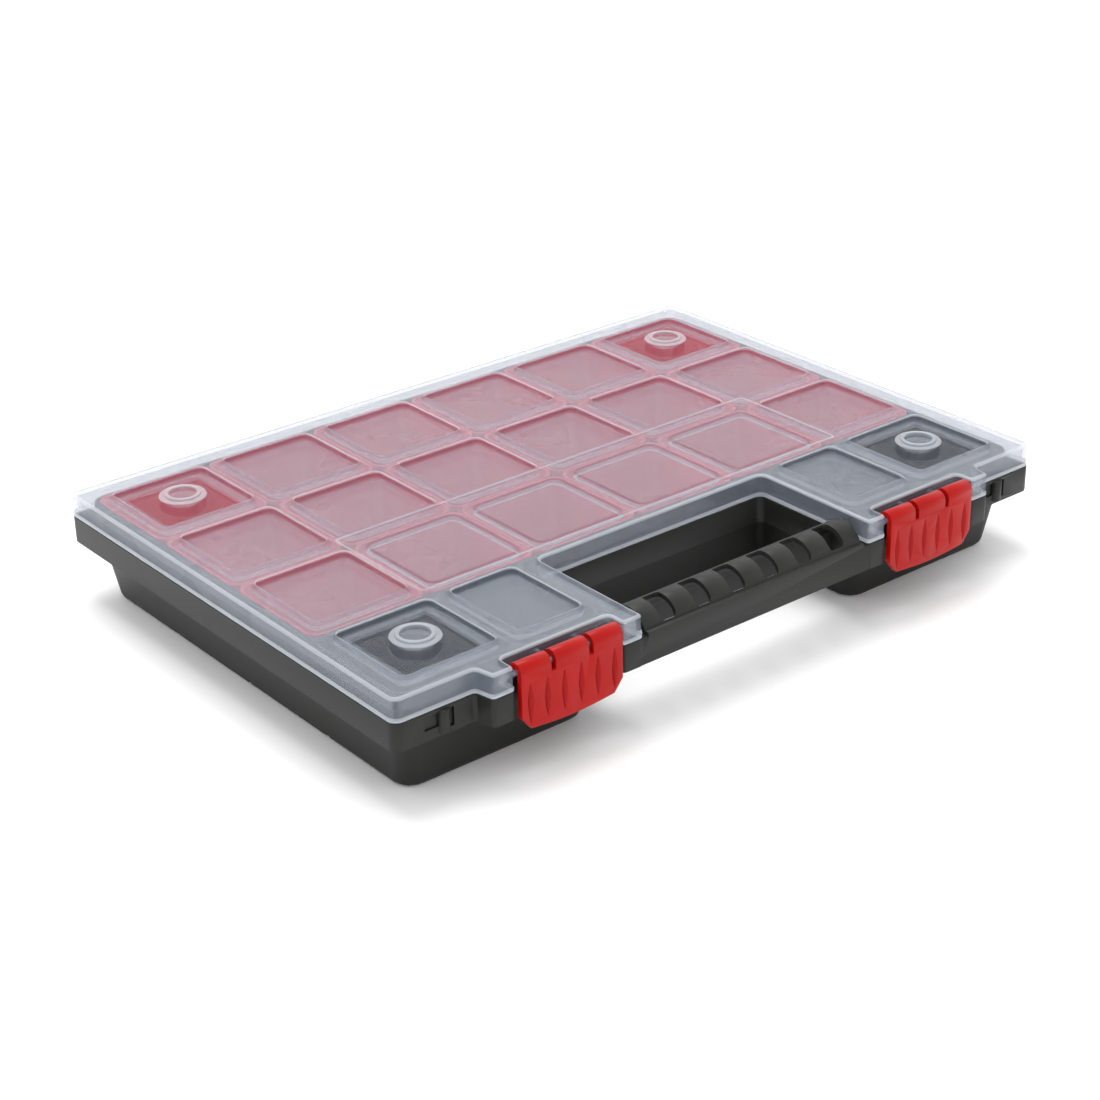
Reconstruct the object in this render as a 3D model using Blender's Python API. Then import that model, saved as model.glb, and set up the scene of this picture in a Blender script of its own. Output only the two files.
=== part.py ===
"""Parts organizer: a shallow tub with a carrying bar, a clear lid, two snap latches and 18 lift-out bins.

Run it with: blender --background --python part.py
Units are metres, +Z is up, the carrying bar and the latches face -Y.
"""
import math

import bmesh
import bpy
from mathutils import Vector

MM = 0.001

# Outline of the case, seen from above
CASE_WIDTH = 344.0 * MM
CASE_FRONT = -114.8 * MM
CASE_BACK = 121.8 * MM
EAR_REACH = 8.7 * MM
EAR_WIDTH = 10.6 * MM
EAR_SLANT = 1.8 * MM
NOTCH_WIDTH = 51.4 * MM
WELL_HALF_WIDTH = 61.0 * MM
WELL_BACK = -60.0 * MM
TUB_RADIUS = 7.5 * MM
RIM_RADIUS = 4.5 * MM
WELL_RADIUS = 3.0 * MM
EAR_RADIUS = 2.0 * MM
LEAST_RADIUS = 0.4 * MM
CORNER_STEPS = 4
CORNER_SHARE = 0.42  # the most of a side that one round corner takes up

# How far a cutter, or a part that is joined on, reaches past the face it meets
OVERLAP = 1.0 * MM
SINK = 0.5 * MM

# Heights
BAND_BOTTOM = 26.4 * MM
PARTING = 38.0 * MM
PARTING_GAP = 0.3 * MM
LIP_TOP = 45.0 * MM
LID_TOP = 48.4 * MM
KNOB_TOP = 50.0 * MM

# Tub
TUB_WALL = 1.8 * MM
TUB_FLOOR = 2.4 * MM
TUB_INSET_TOP = 6.1 * MM
TUB_INSET_WAIST = 8.3 * MM
TUB_INSET_FOOT = 11.2 * MM
WAIST_HEIGHT = 22.0 * MM
FOOT_ROUND = 3.2 * MM
FOOT_STEPS = 3
BAND_WALL = 1.8 * MM
GROOVE_WIDTH = 5.0 * MM
GROOVE_TOP_WIDTH = 3.0 * MM
GROOVE_DEPTH = 2.2 * MM
NEST_RADIUS = 11.5 * MM
NEST_DEPTH = 1.2 * MM

# Compartments
COLUMNS = 6
BIN_ROWS = ("back", "middle", "front")
COLUMN_PITCH = 54.6 * MM
ROW_PITCH = 55.2 * MM
BIN_WALL = 1.2 * MM
BIN_FLOOR = 1.4 * MM
BIN_GAP = 0.4 * MM
BIN_TAPER = 5.2 * MM
BIN_RADIUS = 5.0 * MM
BIN_CORNER_STEPS = 3
BIN_FOOT = 1.0 * MM
BIN_RISE = 0.4 * MM
BIN_FILLET = 3.0 * MM
COMPARTMENT_RADIUS = 5.0 * MM
DIVIDER = 1.8 * MM
DIVIDER_LEAN = 0.08
FLOOR_GAP = 0.4 * MM

# Lid
LID_WALL = 1.8 * MM
LID_EDGE_ROUND = 1.2 * MM
LID_EDGE_STEPS = 3
CUP_WALL = 1.6 * MM
WINDOW_RIB = 10.6 * MM
WINDOW_DEPTH = 2.6 * MM
WINDOW_RADIUS = 3.0 * MM
WINDOW_CORNER_STEPS = 3
NARROW_WINDOW_RIB = 8.8 * MM
LABEL_MARGIN = 5.5 * MM
LABEL_FRONT_MARGIN = 1.65 * MM
LABEL_RADIUS = 2.0 * MM
LABEL_LINE = 1.0 * MM
LABEL_LINE_HEIGHT = 0.4 * MM
KNOB_RADIUS = 10.2 * MM
KNOB_RING_RADIUS = 7.8 * MM
KNOB_DISH_RADIUS = 6.0 * MM
KNOB_DISH_DEPTH = 0.9 * MM
KNOB_SHOULDER = 49.0 * MM
PYRAMID_MARGIN = 4.0 * MM
PYRAMID_TOP = 15.0 * MM
PYRAMID_HEIGHT = 48.8 * MM

# Lid hinge
HINGE_OFFSET = 0.6 * MM
HINGE_Z = 35.2 * MM
HINGE_RADIUS = 2.6 * MM
HINGE_PIN_RADIUS = 1.2 * MM
HINGE_STEPS = 20
HINGE_STATIONS = (-110.0 * MM, 0.0, 110.0 * MM)
LID_KNUCKLE = 14.0 * MM
BASE_KNUCKLE = 7.0 * MM
BORE_DEPTH = 5.5 * MM
PIN_END_GAP = 0.7 * MM
KNUCKLE_ARM_DROP = 6.2 * MM
KNUCKLE_ARM_SHOULDER = 1.6 * MM
KNUCKLE_ARM_RISE = 4.2 * MM
FIT = 0.35 * MM

# Latches
LATCH_WIDTH = 48.8 * MM
LATCH_FRONT = -125.0 * MM
LATCH_PLATE = 2.6 * MM
LATCH_BOTTOM = 19.6 * MM
ROLL_RADIUS = 3.8 * MM
ROLL_STEPS = 28
ROD_RADIUS = 1.3 * MM
ROD_Z = 44.6 * MM
SLOT_WIDTH = 2.2 * MM
SLOT_OFFSET = 9.05 * MM
SLOT_DEPTH = 6.8 * MM
GROOVES = 6
LATCH_GROOVE_PITCH = 8.1 * MM
LATCH_GROOVE_WIDTH = 3.6 * MM
LATCH_GROOVE_DEPTH = 1.9 * MM
LATCH_GROOVE_LOW = 21.8 * MM
LATCH_GROOVE_HIGH = 41.5 * MM
CATCH_REACH = 3.0 * MM
CATCH_LOW = 27.6 * MM
CATCH_HIGH = 30.6 * MM
HOOK_HEIGHT = 3.4 * MM
CATCH_CHAMFER = 1.0 * MM
PLATE_CHAMFER = 4.2 * MM
PLATE_SHOULDER = 6.7 * MM
PLATE_BOW = 1.3 * MM
PLATE_STEPS = 8
GROOVE_STEPS = 10
GROOVE_LIFT = 0.5 * MM
MOUTH_GAP = 0.8 * MM
WEB_DROP = 2.9 * MM

# Carrying bar
BAR_FRONT = -123.3 * MM
BAR_WALL = 2.0 * MM
BAR_TOP = 39.4 * MM
BAR_GAP_BOTTOM = 33.0 * MM
BAR_GAP_FRONT = -120.8 * MM
BAR_GAP_BACK = -108.6 * MM
BAR_GAP_RADIUS = 1.5 * MM
ARCH_RADIUS = 10.2 * MM
ARCH_CENTRE_Z = 36.0 * MM
ARCH_FOOT = 28.0 * MM
ARCH_END_GAP = 2.5 * MM
ARCH_STEPS = 16
BAR_GAPS = 6
BAR_GAP_PITCH = 18.3 * MM
BAR_GAP_WIDTH = 8.2 * MM

# Front lugs
LUG_X = 149.8 * MM
LUG_RADIUS = 2.1 * MM
LUG_LOW = 28.0 * MM
LUG_HIGH = 37.2 * MM
LUG_SLOT_OFFSET = 3.7 * MM
LUG_SLOT_WIDTH = 1.8 * MM
LUG_SLOT_DEPTH = 1.1 * MM
LUG_RECESS_REACH = 8.8 * MM
LUG_RECESS_DEPTH = 0.9 * MM
LUG_RECESS_RISE = 2.8 * MM
LUG_SLOT_RISE = 0.8 * MM
LUG_TOP_MARGIN = 0.6 * MM

# Values that follow from the ones above
HALF_WIDTH = CASE_WIDTH / 2
CAVITY_INSET = TUB_INSET_TOP + TUB_WALL
EAR_INNER = WELL_HALF_WIDTH + EAR_WIDTH
NOTCH_OUTER = EAR_INNER + NOTCH_WIDTH
EAR_OUTER = NOTCH_OUTER + EAR_WIDTH
EAR_FRONT = CASE_FRONT - EAR_REACH
LATCH_X = EAR_INNER + NOTCH_WIDTH / 2
ROD_Y = LATCH_FRONT + ROLL_RADIUS
HINGE_Y = CASE_BACK + HINGE_OFFSET
WINDOW = COLUMN_PITCH - WINDOW_RIB
LID_BOTTOM = PARTING + PARTING_GAP
BACK_ROW_Y = CASE_BACK - CAVITY_INSET - ROW_PITCH / 2
ROW_Y = [BACK_ROW_Y - row * ROW_PITCH for row in range(len(BIN_ROWS))]
BAY_FRONT = ROW_Y[-1] - ROW_PITCH / 2
OWN_ROW_BACK = BAY_FRONT - DIVIDER
OWN_ROW_FRONT = CASE_FRONT + CAVITY_INSET
OWN_ROW_Y = (OWN_ROW_BACK + OWN_ROW_FRONT) / 2
OWN_SIDE_END = WELL_HALF_WIDTH + CAVITY_INSET
CORNER_COLUMN_END = (COLUMNS / 2 - 1) * COLUMN_PITCH
NARROW_WINDOW = CORNER_COLUMN_END - OWN_SIDE_END - NARROW_WINDOW_RIB
ARCH_CENTRE_Y = BAR_FRONT + BAR_WALL + ARCH_RADIUS - SINK


def clear_scene():
    for item in list(bpy.data.objects):
        bpy.data.objects.remove(item, do_unlink=True)


def material(name, colour, roughness, alpha=1.0):
    made = bpy.data.materials.new(name)
    made.use_nodes = True
    shader = made.node_tree.nodes["Principled BSDF"]
    shader.inputs["Base Color"].default_value = (*colour, 1.0)
    shader.inputs["Roughness"].default_value = roughness
    shader.inputs["Alpha"].default_value = alpha
    made.diffuse_color = (*colour, alpha)
    return made


def offset(points, inset):
    """The anticlockwise outline moved inwards by inset, corner for corner."""
    moved = []
    for index, point in enumerate(points):
        before = Vector(points[index - 1])
        here = Vector(point)
        after = Vector(points[(index + 1) % len(points)])
        first = (here - before).normalized()
        second = (after - here).normalized()
        normal_a = Vector((-first.y, first.x))
        normal_b = Vector((-second.y, second.x))
        shift = (normal_a + normal_b) / (1 + normal_a.dot(normal_b))
        moved.append(here + shift * inset)
    return moved


def rounded(points, radius, inset=0.0, steps=CORNER_STEPS):
    """The outline with round corners: an inset narrows the outer corners and widens the inner ones.

    The radius is one size for all corners, or a list with one for each."""
    corners = offset(points, inset)
    radii = radius if isinstance(radius, list) else [radius] * len(points)
    result = []
    for index, here in enumerate(corners):
        before = corners[index - 1]
        after = corners[(index + 1) % len(corners)]
        back = before - here
        ahead = after - here
        turn = (-back).cross(ahead)
        wanted = radii[index] - inset if turn > 0 else radii[index] + inset
        half = back.angle(ahead) / 2
        reach = max(wanted, LEAST_RADIUS) / math.tan(half)
        reach = min(reach, CORNER_SHARE * back.length, CORNER_SHARE * ahead.length)
        start = here + back.normalized() * reach
        end = here + ahead.normalized() * reach
        size = reach * math.tan(half)
        centre = here + (back.normalized() + ahead.normalized()).normalized() * (size / math.sin(half))
        for step in range(steps + 1):
            share = step / steps
            straight = start.lerp(end, share)
            result.append(centre + (straight - centre).normalized() * size)
    return result


def mesh_object(name, bm):
    bmesh.ops.recalc_face_normals(bm, faces=bm.faces)
    mesh = bpy.data.meshes.new(name)
    bm.to_mesh(mesh)
    bm.free()
    made = bpy.data.objects.new(name, mesh)
    bpy.context.collection.objects.link(made)
    return made


def loft(name, rings):
    """A closed solid through (height, outline) rings that all have the same number of points."""
    bm = bmesh.new()
    loops = [[bm.verts.new((p[0], p[1], z)) for p in outline] for z, outline in rings]
    bm.faces.new(list(reversed(loops[0])))
    bm.faces.new(loops[-1])
    count = len(loops[0])
    for low, high in zip(loops, loops[1:]):
        for index in range(count):
            after = (index + 1) % count
            bm.faces.new((low[index], low[after], high[after], high[index]))
    return mesh_object(name, bm)


def prism(name, outline, low, high):
    return loft(name, [(low, outline), (high, outline)])


def box(name, x, y, z):
    """A box from three (low, high) pairs."""
    outline = [(x[0], y[0]), (x[1], y[0]), (x[1], y[1]), (x[0], y[1])]
    return prism(name, outline, z[0], z[1])


def bar_along_x(name, profile, x):
    """A solid with the (y, z) profile, running between two x values."""
    bm = bmesh.new()
    near = [bm.verts.new((x[0], p[0], p[1])) for p in profile]
    far = [bm.verts.new((x[1], p[0], p[1])) for p in profile]
    bm.faces.new(near)
    bm.faces.new(list(reversed(far)))
    for index in range(len(profile)):
        after = (index + 1) % len(profile)
        bm.faces.new((near[index], far[index], far[after], near[after]))
    return mesh_object(name, bm)


def circle(centre, radius, steps=24, start=0.0, sweep=2 * math.pi):
    last = steps if sweep >= 2 * math.pi - 1e-6 else steps + 1
    return [
        (
            centre[0] + radius * math.cos(start + sweep * step / steps),
            centre[1] + radius * math.sin(start + sweep * step / steps),
        )
        for step in range(last)
    ]


def rectangle(centre_x, centre_y, size_x, size_y):
    x, y = size_x / 2, size_y / 2
    return [
        (centre_x - x, centre_y - y),
        (centre_x + x, centre_y - y),
        (centre_x + x, centre_y + y),
        (centre_x - x, centre_y + y),
    ]


def gather(name, pieces):
    """Separate solids held in one helper object."""
    bm = bmesh.new()
    for piece in pieces:
        bm.from_mesh(piece.data)
        bpy.data.objects.remove(piece, do_unlink=True)
    return mesh_object(name, bm)


def combine(target, tool, operation):
    """Applies one Boolean to target and removes the tool."""
    modifier = target.modifiers.new(operation.lower(), "BOOLEAN")
    modifier.operation = operation
    modifier.object = tool
    modifier.solver = "EXACT"
    bpy.context.view_layer.update()
    graph = bpy.context.evaluated_depsgraph_get()
    done = bpy.data.meshes.new_from_object(target.evaluated_get(graph))
    target.modifiers.clear()
    target.data = done
    bpy.data.objects.remove(tool, do_unlink=True)


def join(target, *tools):
    for tool in tools:
        combine(target, tool, "UNION")


def cut(target, *tools):
    for tool in tools:
        combine(target, tool, "DIFFERENCE")


def finish(target, look):
    target.data.materials.clear()
    target.data.materials.append(look)
    for face in target.data.polygons:
        face.material_index = 0


def tub_corners():
    """The case without its ears: a rectangle with the well cut out of its front edge."""
    return [
        (-HALF_WIDTH, CASE_FRONT),
        (-WELL_HALF_WIDTH, CASE_FRONT),
        (-WELL_HALF_WIDTH, WELL_BACK),
        (WELL_HALF_WIDTH, WELL_BACK),
        (WELL_HALF_WIDTH, CASE_FRONT),
        (HALF_WIDTH, CASE_FRONT),
        (HALF_WIDTH, CASE_BACK),
        (-HALF_WIDTH, CASE_BACK),
    ]


def rim_corners():
    """The outline of the lid and of the band under it, with an ear on each side of both latches."""
    half = [
        (WELL_HALF_WIDTH, EAR_FRONT),
        (EAR_INNER, EAR_FRONT),
        (EAR_INNER, CASE_FRONT),
        (NOTCH_OUTER, CASE_FRONT),
        (NOTCH_OUTER, EAR_FRONT),
        (EAR_OUTER, EAR_FRONT),
        (EAR_OUTER + EAR_SLANT, CASE_FRONT),
        (HALF_WIDTH, CASE_FRONT),
        (HALF_WIDTH, CASE_BACK),
    ]
    mirrored = [(-x, y) for x, y in reversed(half)]
    return mirrored + [(-WELL_HALF_WIDTH, WELL_BACK), (WELL_HALF_WIDTH, WELL_BACK)] + half


def rim_radius(corner):
    if abs(corner[0]) == HALF_WIDTH:
        return RIM_RADIUS
    return WELL_RADIUS if corner[1] == WELL_BACK else EAR_RADIUS


def rim_outline(inset=0.0):
    corners = rim_corners()
    return rounded(corners, [rim_radius(corner) for corner in corners], inset)


def tub_outline(inset):
    """The tub's outside at one height, whose corners keep their radius while the walls lean in."""
    corners = tub_corners()
    inner = [corner[1] == WELL_BACK for corner in corners]
    radii = [WELL_RADIUS - inset if is_inner else TUB_RADIUS + inset for is_inner in inner]
    return rounded(corners, radii, inset)


def quarter_round(radius, steps):
    """(rise, pull) pairs along a quarter circle, from its foot, which is pulled in, to its upright end."""
    angles = [math.pi / 2 * step / steps for step in range(steps + 1)]
    return [(radius * math.sin(angle), radius * (1 - math.cos(angle))) for angle in angles]


def column_x(column):
    return (column - (COLUMNS - 1) / 2) * COLUMN_PITCH


def base_shell():
    """The solid outside of the tub, the flange and band round it, before it is hollowed."""
    foot = [(FOOT_ROUND - rise, pull) for rise, pull in reversed(quarter_round(FOOT_ROUND, FOOT_STEPS))]
    rings = [(height, tub_outline(TUB_INSET_FOOT + pull)) for height, pull in foot]
    rings += [
        (WAIST_HEIGHT, tub_outline(TUB_INSET_WAIST)),
        (BAND_BOTTOM, tub_outline(TUB_INSET_TOP)),
        (LIP_TOP, tub_outline(TUB_INSET_TOP)),
    ]
    tub = loft("base", rings)
    band = prism("band", rim_outline(), BAND_BOTTOM, PARTING)
    cut(band, prism("band_inside", rim_outline(BAND_WALL), 0.0, PARTING - BAND_WALL))
    join(tub, band)
    return tub


def bay_outline(inset):
    return rounded(
        [
            (-HALF_WIDTH + inset, BAY_FRONT + inset - CAVITY_INSET),
            (HALF_WIDTH - inset, BAY_FRONT + inset - CAVITY_INSET),
            (HALF_WIDTH - inset, CASE_BACK - inset),
            (-HALF_WIDTH + inset, CASE_BACK - inset),
        ],
        COMPARTMENT_RADIUS,
    )


def cavity_rings(outline):
    """Rings of a hollow that stays one wall inside the tub."""
    above = LID_TOP
    return [
        (TUB_FLOOR, outline(TUB_INSET_FOOT + TUB_WALL)),
        (WAIST_HEIGHT, outline(TUB_INSET_WAIST + TUB_WALL)),
        (BAND_BOTTOM + TUB_WALL, outline(CAVITY_INSET)),
        (above, outline(CAVITY_INSET)),
    ]


def compartment_outline(side, outer, inner, inset):
    """One of the tub's own compartments. Each end is (x, share of the tub's draught that it leans in by)."""
    lean = inset - CAVITY_INSET
    ends = (side * (inner[0] + lean * inner[1]), side * (outer[0] - lean * outer[1]))
    low, high = sorted(ends)
    return rounded(
        [
            (low, OWN_ROW_FRONT + lean),
            (high, OWN_ROW_FRONT + lean),
            (high, OWN_ROW_BACK),
            (low, OWN_ROW_BACK),
        ],
        COMPARTMENT_RADIUS,
    )


def own_compartments():
    """(side, outer end, inner end) of the four compartments moulded into the tub."""
    case_end = (HALF_WIDTH - CAVITY_INSET, 1.0)
    well_end = (OWN_SIDE_END, 1.0)
    for side in (-1, 1):
        yield side, case_end, (CORNER_COLUMN_END + DIVIDER / 2, DIVIDER_LEAN)
        yield side, (CORNER_COLUMN_END - DIVIDER / 2, DIVIDER_LEAN), well_end


def compartment_rings(side, outer, inner):
    return cavity_rings(lambda inset: compartment_outline(side, outer, inner, inset))


def hollow_base(base):
    cut(base, loft("bay", cavity_rings(bay_outline)))
    for ends in own_compartments():
        cut(base, loft("compartment", compartment_rings(*ends)))


def row_boundaries():
    return [y - ROW_PITCH / 2 for y in ROW_Y]


def add_floor_ridges(base):
    """Ridges between the rows of bins, each over a groove in the underside."""
    inside = HALF_WIDTH - TUB_INSET_FOOT - TUB_WALL / 2
    for y in row_boundaries()[:-1]:
        half = GROOVE_WIDTH / 2 + TUB_WALL
        top = GROOVE_DEPTH + TUB_WALL
        ridge = box("ridge", (-inside, inside), (y - half, y + half), (TUB_FLOOR / 2, top))
        join(base, ridge)
    for y in row_boundaries():
        half = GROOVE_WIDTH / 2
        top_half = GROOVE_TOP_WIDTH / 2
        profile = [
            (y - half, -OVERLAP),
            (y + half, -OVERLAP),
            (y + half, 0.0),
            (y + top_half, GROOVE_DEPTH),
            (y - top_half, GROOVE_DEPTH),
            (y - half, 0.0),
        ]
        cut(base, bar_along_x("groove", profile, (-HALF_WIDTH, HALF_WIDTH)))


def knob_places():
    far = column_x(COLUMNS - 1)
    for x in (-far, far):
        for y in (ROW_Y[0], OWN_ROW_Y):
            yield x, y


def add_stacking_nests(base):
    nests = [
        prism("nest", circle(place, NEST_RADIUS), -OVERLAP, NEST_DEPTH) for place in knob_places()
    ]
    cut(base, gather("nests", nests))


def bar_front():
    """The bar's front wall: full width under the lid's ears, and taller between them."""
    end = EAR_INNER - BAND_WALL / 2
    clear_end = WELL_HALF_WIDTH - ARCH_END_GAP
    y = (BAR_FRONT, BAR_FRONT + BAR_WALL)
    front = box("bar_front", (-end, end), y, (BAND_BOTTOM, PARTING - PARTING_GAP))
    join(front, box("bar_front_top", (-clear_end, clear_end), y, (PARTING - OVERLAP, BAR_TOP)))
    return front


def bar_arch():
    """The half-round top of the bar, hollow underneath, cut back where the lid's ears come down over it."""
    end = WELL_HALF_WIDTH + BAND_WALL / 2
    centre = (ARCH_CENTRE_Y, ARCH_CENTRE_Z)
    inner_radius = ARCH_RADIUS - BAR_WALL
    outside = circle(centre, ARCH_RADIUS, ARCH_STEPS, 0.0, math.pi)
    inside = circle(centre, inner_radius, ARCH_STEPS, 0.0, math.pi)
    feet = [(ARCH_CENTRE_Y - radius, ARCH_FOOT) for radius in (ARCH_RADIUS, inner_radius)]
    far_feet = [(ARCH_CENTRE_Y + radius, ARCH_FOOT) for radius in (inner_radius, ARCH_RADIUS)]
    arch = bar_along_x("arch", outside + feet + list(reversed(inside)) + far_feet, (-end, end))
    clear_end = WELL_HALF_WIDTH - ARCH_END_GAP
    for side in (-1, 1):
        x = sorted((side * clear_end, side * (end + OVERLAP)))
        cut(arch, box("end_clearance", x, (EAR_FRONT, WELL_BACK), (PARTING - PARTING_GAP, LID_TOP)))
    return arch


def bar_gap(index):
    """The cutter of one slot through the bar's round top, from the ledge in front to just past the crest."""
    x = (index - (BAR_GAPS - 1) / 2) * BAR_GAP_PITCH
    middle = (BAR_GAP_FRONT + BAR_GAP_BACK) / 2
    opening = rectangle(x, middle, BAR_GAP_WIDTH, BAR_GAP_BACK - BAR_GAP_FRONT)
    return prism("gap", rounded(opening, BAR_GAP_RADIUS), BAR_GAP_BOTTOM, LID_TOP)


def add_bar(base):
    """The carrying bar across the well."""
    bar = bar_front()
    join(bar, bar_arch())
    cut(bar, gather("bar_gaps", [bar_gap(index) for index in range(BAR_GAPS)]))
    join(base, bar)


def catch_span():
    """The x range, from the middle of a latch, where its hook meets the tub's catch."""
    return SLOT_OFFSET + SLOT_WIDTH


def add_latch_catches(base):
    for side in (-1, 1):
        x = (side * LATCH_X - catch_span(), side * LATCH_X + catch_span())
        front = CASE_FRONT - CATCH_REACH
        back = CASE_FRONT + BAND_WALL / 2
        profile = [
            (back, CATCH_LOW),
            (back, CATCH_HIGH + CATCH_REACH),
            (front + CATCH_CHAMFER, CATCH_HIGH),
            (front, CATCH_HIGH - CATCH_CHAMFER),
            (front, CATCH_LOW),
        ]
        join(base, bar_along_x("catch", profile, x))


def add_front_lugs(base):
    """A half-round lug near each end of the front band, with a slot on one side and a recess on the other."""
    for side in (-1, 1):
        x = side * LUG_X
        lug = prism("lug", circle((x, CASE_FRONT + SINK), LUG_RADIUS + SINK, 16), LUG_LOW, LUG_HIGH)
        slot_low = x + LUG_SLOT_OFFSET - LUG_SLOT_WIDTH / 2
        slot = box(
            "slot",
            (slot_low, slot_low + LUG_SLOT_WIDTH),
            (CASE_FRONT - OVERLAP, CASE_FRONT + LUG_SLOT_DEPTH),
            (LUG_LOW + LUG_SLOT_RISE, LUG_HIGH - LUG_TOP_MARGIN),
        )
        recess = box(
            "recess",
            (x - LUG_RECESS_REACH, x - LUG_RADIUS),
            (CASE_FRONT - OVERLAP, CASE_FRONT + LUG_RECESS_DEPTH),
            (LUG_LOW + LUG_RECESS_RISE, LUG_HIGH - LUG_TOP_MARGIN),
        )
        cut(base, slot, recess)
        join(base, lug)


def base_knuckle(near, side):
    """One knuckle of the tub, from its end beside the lid's knuckle, on an arm out of the band."""
    span = sorted((near, near + side * BASE_KNUCKLE))
    back = HINGE_Y + HINGE_RADIUS - PARTING_GAP
    root = CASE_BACK - BAND_WALL / 2
    arm = [
        (root, HINGE_Z - KNUCKLE_ARM_DROP),
        (CASE_BACK, HINGE_Z - KNUCKLE_ARM_DROP),
        (back, HINGE_Z - KNUCKLE_ARM_SHOULDER),
        (back, HINGE_Z),
        (root, HINGE_Z),
    ]
    knuckle = bar_along_x("knuckle", circle((HINGE_Y, HINGE_Z), HINGE_RADIUS, HINGE_STEPS), span)
    join(knuckle, bar_along_x("arm", arm, span))
    return knuckle


def add_base_knuckles(base):
    """Pairs of knuckles with a bore, and the notch in the band that the lid's knuckle turns in."""
    reach = LID_KNUCKLE / 2 + FIT
    clearance = HINGE_RADIUS + 2 * FIT
    for x in HINGE_STATIONS:
        notch = box(
            "hinge_notch",
            (x - reach, x + reach),
            (HINGE_Y - clearance, HINGE_Y + clearance),
            (HINGE_Z - clearance, LID_TOP),
        )
        cut(base, notch)
        for side in (-1, 1):
            near = x + side * reach
            join(base, base_knuckle(near, side))
            bore_span = sorted((near - side * OVERLAP, near + side * BORE_DEPTH))
            bore = circle((HINGE_Y, HINGE_Z), HINGE_PIN_RADIUS + FIT, HINGE_STEPS)
            cut(base, bar_along_x("bore", bore, bore_span))


def build_base(look):
    base = base_shell()
    hollow_base(base)
    add_floor_ridges(base)
    add_stacking_nests(base)
    add_bar(base)
    add_latch_catches(base)
    add_front_lugs(base)
    add_base_knuckles(base)
    finish(base, look)
    return base


def windows():
    """(x, y, width, depth, kind) of every window in the lid."""
    for row, y in enumerate(ROW_Y):
        for column in range(COLUMNS):
            inner = 0 < column < COLUMNS - 1
            kind = "label" if row == len(ROW_Y) - 1 and inner else "plain"
            if row == 0 and not inner:
                kind = "knob"
            yield column_x(column), y, WINDOW, WINDOW, kind
    narrow_x = (CORNER_COLUMN_END + OWN_SIDE_END) / 2
    for side in (-1, 1):
        yield side * column_x(COLUMNS - 1), OWN_ROW_Y, WINDOW, WINDOW, "knob"
        yield side * narrow_x, OWN_ROW_Y, NARROW_WINDOW, WINDOW, "plain"


def lid_shell():
    shoulder = LID_TOP - LID_EDGE_ROUND
    edge = quarter_round(LID_EDGE_ROUND, LID_EDGE_STEPS)
    rings = [(LID_BOTTOM, rim_outline())] + [(shoulder + rise, rim_outline(pull)) for rise, pull in edge]
    lid = loft("lid", rings)
    cut(lid, prism("lid_inside", rim_outline(LID_WALL), LID_BOTTOM - OVERLAP, LID_TOP - LID_WALL))
    return lid


def add_windows(lid):
    """Each window is a cup let into the lid, so that it stands in the mouth of its compartment."""
    cup_low = LID_TOP - WINDOW_DEPTH - LID_WALL
    steps = WINDOW_CORNER_STEPS
    cups = []
    pockets = []
    for x, y, width, depth, kind in windows():
        opening = rectangle(x, y, width, depth)
        outside = rounded(opening, WINDOW_RADIUS, -CUP_WALL, steps)
        inside = rounded(opening, WINDOW_RADIUS, steps=steps)
        cups.append(prism("cup", outside, cup_low, LID_TOP - LID_WALL / 2))
        if kind == "label":
            pockets.append(prism("pocket", inside, cup_low - OVERLAP, LID_TOP - LID_WALL))
        else:
            pockets.append(prism("pocket", inside, LID_TOP - WINDOW_DEPTH, LID_TOP + OVERLAP))
    join(lid, gather("cups", cups))
    cut(lid, gather("pockets", pockets))


def add_label_frame(lid):
    """A fine raised line round the flat panel over the front row of bins, broken at the other windows."""
    half = CORNER_COLUMN_END + LABEL_MARGIN
    low = ROW_Y[-1] - ROW_PITCH / 2 - LABEL_FRONT_MARGIN
    high = ROW_Y[-1] + ROW_PITCH / 2 + LABEL_MARGIN
    outside = [(-half, low), (half, low), (half, high), (-half, high)]
    top = LID_TOP + LABEL_LINE_HEIGHT
    frame = prism("frame", rounded(outside, LABEL_RADIUS), LID_TOP - SINK, top)
    inside = rounded(outside, LABEL_RADIUS, LABEL_LINE)
    cut(frame, prism("frame_inside", inside, LID_TOP - OVERLAP, top + OVERLAP))
    reach = WINDOW / 2 + LABEL_LINE
    y = (ROW_Y[1] - WINDOW / 2, high + OVERLAP)
    for x in (column_x(column) for column in range(1, COLUMNS - 1)):
        cut(frame, box("gap", (x - reach, x + reach), y, (0, top + OVERLAP)))
    join(lid, frame)


def add_knobs(lid):
    """A low pyramid in each corner window, with a round dished knob that a stacked case sits on."""
    floor = LID_TOP - WINDOW_DEPTH - LID_WALL / 2
    for x, y in knob_places():
        base_size = WINDOW - 2 * PYRAMID_MARGIN
        pyramid = loft(
            "pyramid",
            [
                (floor, rectangle(x, y, base_size, base_size)),
                (LID_TOP - WINDOW_DEPTH, rectangle(x, y, base_size, base_size)),
                (PYRAMID_HEIGHT, rectangle(x, y, PYRAMID_TOP, PYRAMID_TOP)),
            ],
        )
        disc = prism("disc", circle((x, y), KNOB_RADIUS), floor, KNOB_SHOULDER)
        ring = prism("ring", circle((x, y), KNOB_RING_RADIUS), floor, KNOB_TOP)
        dish_floor = KNOB_TOP - KNOB_DISH_DEPTH
        dish = prism("dish", circle((x, y), KNOB_DISH_RADIUS), dish_floor, KNOB_TOP + OVERLAP)
        join(pyramid, disc, ring)
        cut(pyramid, dish)
        join(lid, pyramid)


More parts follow.
